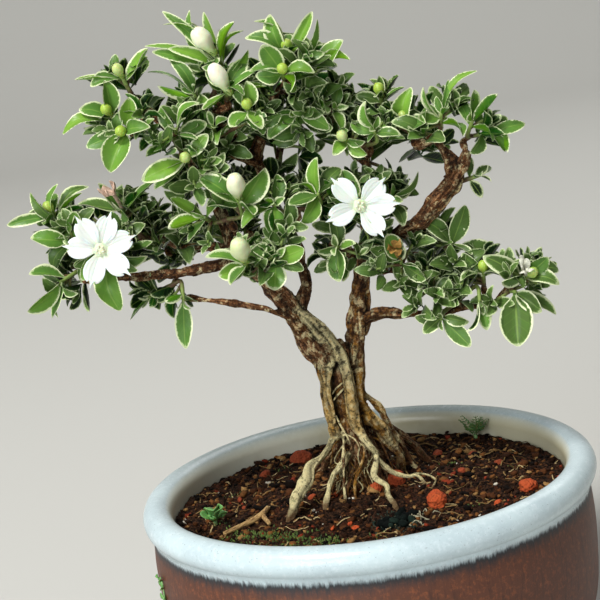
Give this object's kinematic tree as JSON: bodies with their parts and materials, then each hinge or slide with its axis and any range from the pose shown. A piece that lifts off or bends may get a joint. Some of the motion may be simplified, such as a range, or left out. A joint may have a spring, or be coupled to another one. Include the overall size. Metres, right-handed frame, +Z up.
{
  "type": "serissa pre-bonsai in pot",
  "caption": "Young serissa trained as a bonsai, with bare surface roots, small cream-edged leaves, white blooms and buds, in a round thick-lipped glazed pot of soil.",
  "frame": {"origin": "centre of the pot's flat foot, on the surface that it stands on", "axes": "+Z up along the pot's axis; the front, which the picture shows, faces -Y; +X to the viewer's right"},
  "size_m": [0.1229, 0.1038, 0.1506],
  "materials": {
    "pot_glaze": "pale blue-grey gloss glaze on the lip over reddish-brown stoneware",
    "plastic_mesh": "plain black",
    "soil": "dark damp crumbly potting soil",
    "baked_clay": "rough unglazed baked clay",
    "weed": "soft green leaves",
    "dry_root": "dry and fibrous",
    "bark": "rough living bark, cream on the roots",
    "leaf": "semi-gloss green leaf with a cream margin",
    "petal": "soft white petal",
    "flower_bud": "soft cream to yellow-green bud"
  },
  "bodies": {
    "root": {"pot": "pot_glaze", "drain_mesh": "plastic_mesh", "soil": "soil", "clay_granule_1": "baked_clay", "clay_granule_2": "baked_clay", "clay_granule_3": "baked_clay", "clay_granule_4": "baked_clay", "clay_granule_5": "baked_clay", "weed_front": "weed", "weed_rear": "weed", "dead_rootlet": "dry_root", "tree_wood": "bark", "spray_left_high": "leaf", "spray_left_bloom": "leaf", "spray_left_low": "leaf", "spray_left_arch": "leaf", "spray_left_hanging": "leaf", "spray_left_rear": "leaf", "spray_left_rear_inner": "leaf", "spray_crown_left_tip": "leaf", "spray_crown_left": "leaf", "spray_crown_left_inner": "leaf", "spray_crown_left_bud": "leaf", "spray_crown_mid_bud": "leaf", "spray_crown_centre": "leaf", "spray_crown_rear_left": "leaf", "spray_crown_rear": "leaf", "spray_top": "leaf", "spray_top_right": "leaf", "spray_top_under": "leaf", "spray_top_rear": "leaf", "spray_right_high": "leaf", "spray_right_high_bud": "leaf", "spray_right_high_inner": "leaf", "spray_right_high_outer": "leaf", "spray_right_high_tip": "leaf", "spray_right_side": "leaf", "spray_right_high_rear": "leaf", "spray_right_rear": "leaf", "spray_centre_bud": "leaf", "spray_centre": "leaf", "spray_centre_bloom": "leaf", "spray_centre_right": "leaf", "spray_low_bud": "leaf", "spray_centre_low": "leaf", "spray_centre_rear": "leaf", "spray_low_rear": "leaf", "spray_low_left_rear": "leaf", "spray_right_fan": "leaf", "spray_right_inner": "leaf", "spray_right_hanging": "leaf", "spray_right_tip": "leaf", "spray_right_low_mid": "leaf", "spray_right_low_rear": "leaf", "bloom_left": "petal", "bloom_centre": "petal", "flower_crown_left_bud": "flower_bud", "flower_crown_mid_bud": "flower_bud", "flower_centre_bud": "flower_bud", "flower_low_bud": "flower_bud"}
  },
  "joints": []
}
